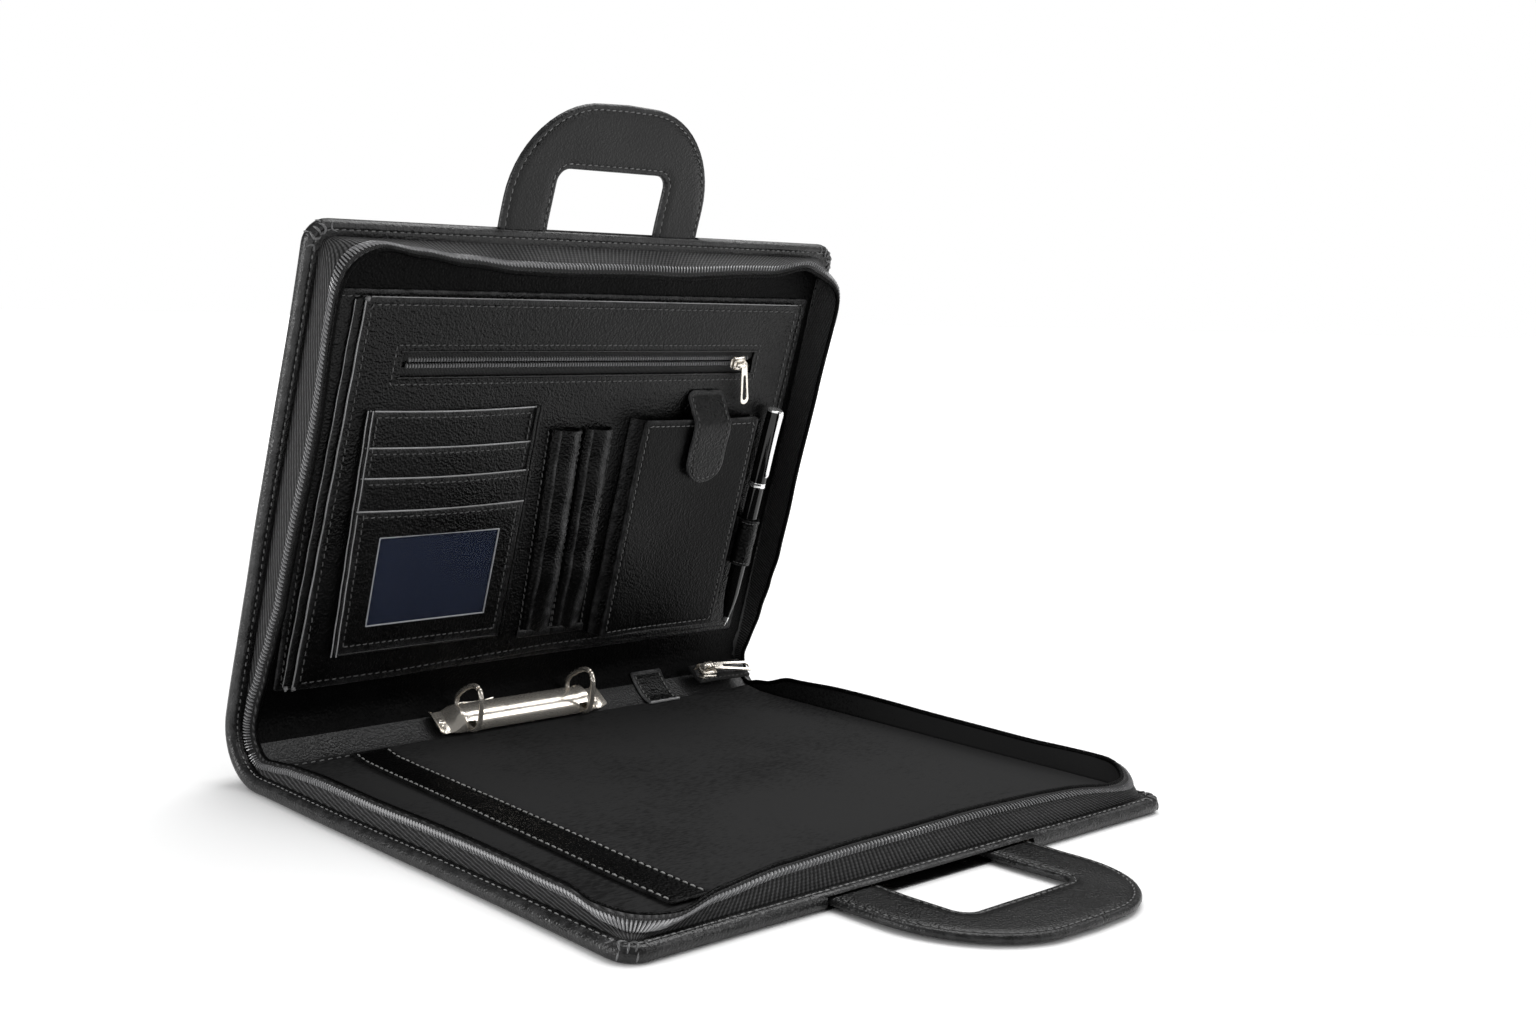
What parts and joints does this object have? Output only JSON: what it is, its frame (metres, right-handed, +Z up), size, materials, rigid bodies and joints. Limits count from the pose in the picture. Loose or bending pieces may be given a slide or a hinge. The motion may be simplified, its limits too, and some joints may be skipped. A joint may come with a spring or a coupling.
{
  "type": "portfolio case",
  "caption": "Black zipped portfolio case standing open, with sliding handles, ring spine, a flat base pocket and a lid organiser of pockets, card slots and pen loop.",
  "frame": {"origin": "centre of the base cover's underside, where the case rests", "axes": "+X along the spine to the right, +Y from the free edge towards the spine, +Z up from the rest face"},
  "size_m": [0.35, 0.3719, 0.3391],
  "materials": {
    "cover_leather": "fine pebble grain, satin",
    "edge_leather": "folded and stitched, satin",
    "board": "grey board, matt",
    "lining_leather": "smooth grain, satin",
    "lining_suede": "short nap, matt",
    "gusset_twill": "twill, matt",
    "zip_tape": "woven tape, matt",
    "zip_teeth": "nylon coil, semi-gloss",
    "nickel": "bright nickel plate",
    "card_blue": "dark blue card",
    "clear_film": "clear film",
    "hook_tape": "hook and loop, matt",
    "pen_black": "gloss lacquer"
  },
  "bodies": {
    "base": {"base_outer_leather": "cover_leather", "base_edge_binding": "edge_leather", "base_core_board": "board", "base_inner_board": "board", "base_lining": "lining_suede", "base_gusset": "gusset_twill", "base_zip_tape": "zip_tape", "base_zip_teeth": "zip_teeth", "base_pocket_panel": "lining_suede", "base_pocket_hem": "lining_leather"},
    "base_handle": {"base_handle": "cover_leather"},
    "spine": {"spine_leather": "cover_leather", "spine_board": "board", "spine_lining": "lining_leather", "spine_edge_trim": "edge_leather", "end_gusset_left": "gusset_twill", "end_gusset_right": "gusset_twill", "ring_base_plate": "nickel", "ring_cover": "nickel", "ring_rivets": "nickel", "zip_tail": "zip_tape", "case_zip_slider": "nickel"},
    "ring_front": {"ring_half_front": "nickel"},
    "ring_back": {"ring_half_back": "nickel"},
    "keeper_tab": {"keeper_tab": "lining_leather"},
    "case_zip_puller": {"case_zip_puller": "nickel"},
    "lid": {"lid_outer_leather": "cover_leather", "lid_edge_binding": "edge_leather", "lid_core_board": "board", "lid_inner_board": "board", "lid_lining": "lining_leather", "lid_gusset": "gusset_twill", "lid_zip_tape": "zip_tape", "lid_zip_teeth": "zip_teeth", "lid_back_sheet": "lining_leather", "lid_organiser_panel": "lining_leather", "pocket_zip_tape": "zip_tape", "pocket_zip_coil": "zip_teeth", "card_slot_1": "lining_leather", "card_slot_2": "lining_leather", "card_slot_3": "lining_leather", "card_slot_4": "lining_leather", "id_card": "card_blue", "id_window_film": "clear_film", "pen_sleeve_left": "lining_leather", "pen_sleeve_right": "lining_leather", "phone_pocket": "lining_leather", "phone_pocket_patch": "hook_tape", "pen_loop": "lining_leather"},
    "lid_handle": {"lid_handle": "cover_leather"},
    "pocket_zip_slider": {"pocket_zip_slider": "nickel"},
    "pocket_zip_puller": {"pocket_zip_puller": "nickel"},
    "phone_flap": {"phone_flap": "lining_leather", "phone_flap_patch": "hook_tape"},
    "pen": {"pen_barrel": "pen_black", "pen_cap": "pen_black", "pen_clip": "nickel", "pen_ring": "nickel", "pen_tip": "nickel"}
  },
  "joints": [
    {"name": "spine_fold", "type": "hinge", "parent": "base", "child": "spine", "pos_m": [0, 0.127, 0], "axis": [-1, 0, 0], "range_deg": [-54, 36]},
    {"name": "lid_fold", "type": "hinge", "parent": "spine", "child": "lid", "pos_m": [0, 0.17069, 0.03174], "axis": [-1, 0, 0], "range_deg": [-21, 69]},
    {"name": "base_handle_slide", "type": "slide", "parent": "base", "child": "base_handle", "axis": [0, -1, 0], "range_m": [-0.068, 0]},
    {"name": "lid_handle_slide", "type": "slide", "parent": "lid", "child": "lid_handle", "axis": [0, -0.2588, 0.9659], "range_m": [-0.058, 0.01]},
    {"name": "ring_back_open", "type": "hinge", "parent": "spine", "child": "ring_back", "pos_m": [0, 0.15648, 0.02203], "axis": [-1, 0, 0], "range_deg": [0, 22]},
    {"name": "ring_front_open", "type": "hinge", "parent": "spine", "child": "ring_front", "pos_m": [0, 0.14547, 0.01404], "axis": [-1, 0, 0], "range_deg": [-22, 0]},
    {"name": "keeper_tab_lift", "type": "hinge", "parent": "spine", "child": "keeper_tab", "pos_m": [0.094, 0.16369, 0.02777], "axis": [-1, 0, 0], "range_deg": [0, 90]},
    {"name": "case_puller_flip", "type": "hinge", "parent": "spine", "child": "case_zip_puller", "pos_m": [0.13, 0.14573, 0.02696], "axis": [0, -0.809, -0.5878], "range_deg": [0, 150]},
    {"name": "pocket_slider_run", "type": "slide", "parent": "lid", "child": "pocket_zip_slider", "axis": [1, 0, 0], "range_m": [-0.222, 0]},
    {"name": "pocket_puller_swing", "type": "hinge", "parent": "pocket_zip_slider", "child": "pocket_zip_puller", "pos_m": [0.1106, 0.10672, 0.20768], "axis": [0, -0.9659, -0.2588], "range_deg": [-25, 60]},
    {"name": "phone_flap_lift", "type": "hinge", "parent": "lid", "child": "phone_flap", "pos_m": [0.091, 0.11426, 0.19365], "axis": [-1, 0, 0], "range_deg": [0, 105]},
    {"name": "pen_slide", "type": "slide", "parent": "lid", "child": "pen", "axis": [0, -0.2588, 0.9659], "range_m": [0, 0.07]}
  ],
  "couplings": [
    {"joint": "ring_front_open", "follows": "ring_back_open", "ratio": -1}
  ]
}
